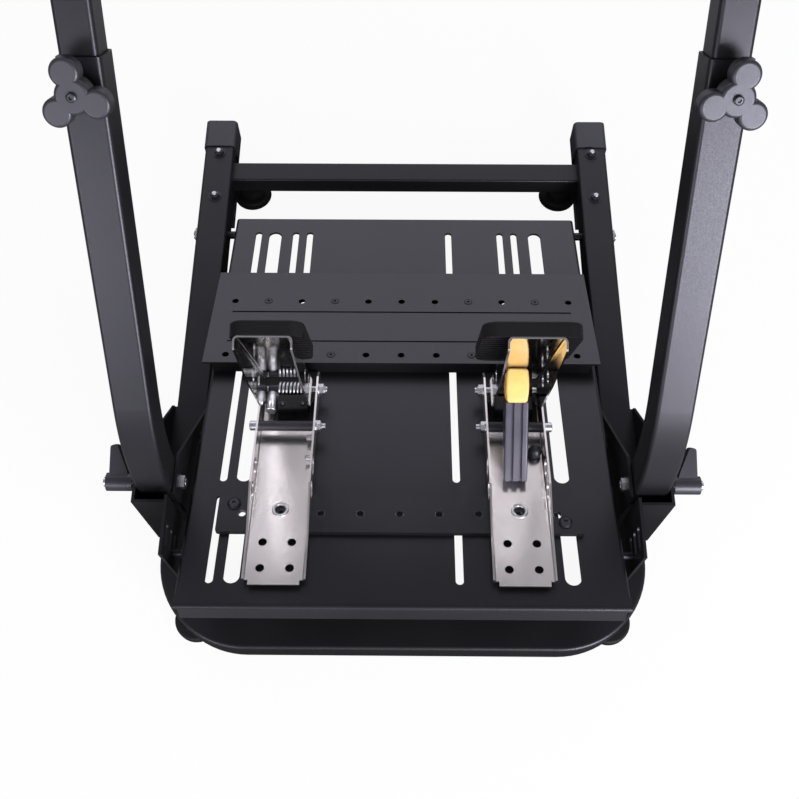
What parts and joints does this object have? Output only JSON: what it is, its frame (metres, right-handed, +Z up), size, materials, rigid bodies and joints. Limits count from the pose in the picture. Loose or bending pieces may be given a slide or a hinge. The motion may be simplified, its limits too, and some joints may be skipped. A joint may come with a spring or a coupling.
{
  "type": "racing wheel stand",
  "caption": "Tubular stand with a slotted tilting pedal plate, hinged steel pedals and leaning telescopic uprights that carry a steering wheel deck.",
  "frame": {"origin": "floor level under the middle of the base", "axes": "+Z up, +Y towards the driver's end, +X to the right seen from the front of the stand"},
  "size_m": [0.614, 0.709, 0.7294],
  "materials": {
    "black_paint": "fine matte powder coat",
    "foot_rubber": "matte",
    "black_plastic": "fine grain",
    "zinc_steel": "bright zinc plate",
    "pedal_steel": "bright rolled sheet",
    "pad_plastic": "ribbed, matte",
    "yellow_elastomer": "cast polyurethane, satin",
    "grey_aluminium": "blue-grey anodised extrusion"
  },
  "bodies": {
    "base": {"base_tube": "black_paint", "cross_tube": "black_paint", "end_cap_left": "black_plastic", "end_cap_right": "black_plastic", "foot_near_left": "foot_rubber", "foot_near_right": "foot_rubber", "foot_far_left": "foot_rubber", "foot_far_right": "foot_rubber", "bracket_inner_left": "black_paint", "bracket_inner_right": "black_paint", "bracket_outer_left": "black_paint", "bracket_outer_right": "black_paint", "fold_pin_left": "zinc_steel", "fold_pin_right": "zinc_steel"},
    "uprights": {"upright_left": "black_paint", "upright_right": "black_paint"},
    "deck": {"post_inner_left": "black_paint", "post_inner_right": "black_paint", "post_left": "black_paint", "post_right": "black_paint", "deck_beam": "black_paint", "wheel_deck": "black_paint"},
    "pedal_plate": {"pedal_plate": "black_paint", "plate_pin_left": "black_paint", "plate_pin_right": "black_paint", "heel_plate": "black_paint", "adapter_bar": "black_paint", "throttle_base": "pedal_steel", "throttle_pin": "zinc_steel", "throttle_roller": "black_plastic", "throttle_spring": "zinc_steel", "throttle_sensor": "black_plastic", "brake_base": "pedal_steel", "brake_pin": "zinc_steel", "brake_roller": "black_plastic", "brake_strut": "grey_aluminium", "brake_block": "yellow_elastomer", "brake_sleeve": "black_plastic", "brake_stop": "black_plastic"},
    "throttle": {"throttle_arm": "pedal_steel", "throttle_pad": "pad_plastic"},
    "brake": {"brake_arm": "pedal_steel", "brake_pad": "pad_plastic"},
    "lever_left": {"clamp_lever_left": "black_plastic"},
    "lever_right": {"clamp_lever_right": "black_plastic"},
    "knob_left": {"knob_left": "black_plastic"},
    "knob_right": {"knob_right": "black_plastic"}
  },
  "joints": [
    {"name": "upright_fold", "type": "hinge", "parent": "base", "child": "uprights", "pos_m": [0, -0.202, 0.16], "axis": [-1, 0, 0], "range_deg": [-4, 48]},
    {"name": "deck_slide", "type": "slide", "parent": "uprights", "child": "deck", "axis": [0, 0.5878, 0.809], "range_m": [-0.09, 0.1]},
    {"name": "plate_tilt", "type": "hinge", "parent": "base", "child": "pedal_plate", "pos_m": [0, 0.18316, 0.04], "axis": [-1, 0, 0], "range_deg": [0, 4.4]},
    {"name": "throttle_press", "type": "hinge", "parent": "pedal_plate", "child": "throttle", "pos_m": [-0.124, -0.08814, 0.14493], "axis": [1, 0, 0], "range_deg": [0, 16], "stiffness_Nm_per_rad": 10, "springref_deg": -5.73},
    {"name": "brake_press", "type": "hinge", "parent": "pedal_plate", "child": "brake", "pos_m": [0.1185, -0.08814, 0.14493], "axis": [1, 0, 0], "range_deg": [0, 4], "stiffness_Nm_per_rad": 120, "springref_deg": -1.15, "deforming": ["brake_block"]},
    {"name": "clamp_left", "type": "hinge", "parent": "base", "child": "lever_left", "pos_m": [-0.28, -0.202, 0.16], "axis": [-1, 0, 0], "range_deg": [-90, 90]},
    {"name": "clamp_right", "type": "hinge", "parent": "base", "child": "lever_right", "pos_m": [0.28, -0.202, 0.16], "axis": [1, 0, 0], "range_deg": [-90, 90]},
    {"name": "knob_turn_left", "type": "hinge", "parent": "uprights", "child": "knob_left", "pos_m": [-0.251, 0.00549, 0.51738], "axis": [0, -0.809, 0.5878], "continuous": true},
    {"name": "knob_turn_right", "type": "hinge", "parent": "uprights", "child": "knob_right", "pos_m": [0.251, 0.00549, 0.51738], "axis": [0, -0.809, 0.5878], "continuous": true}
  ]
}
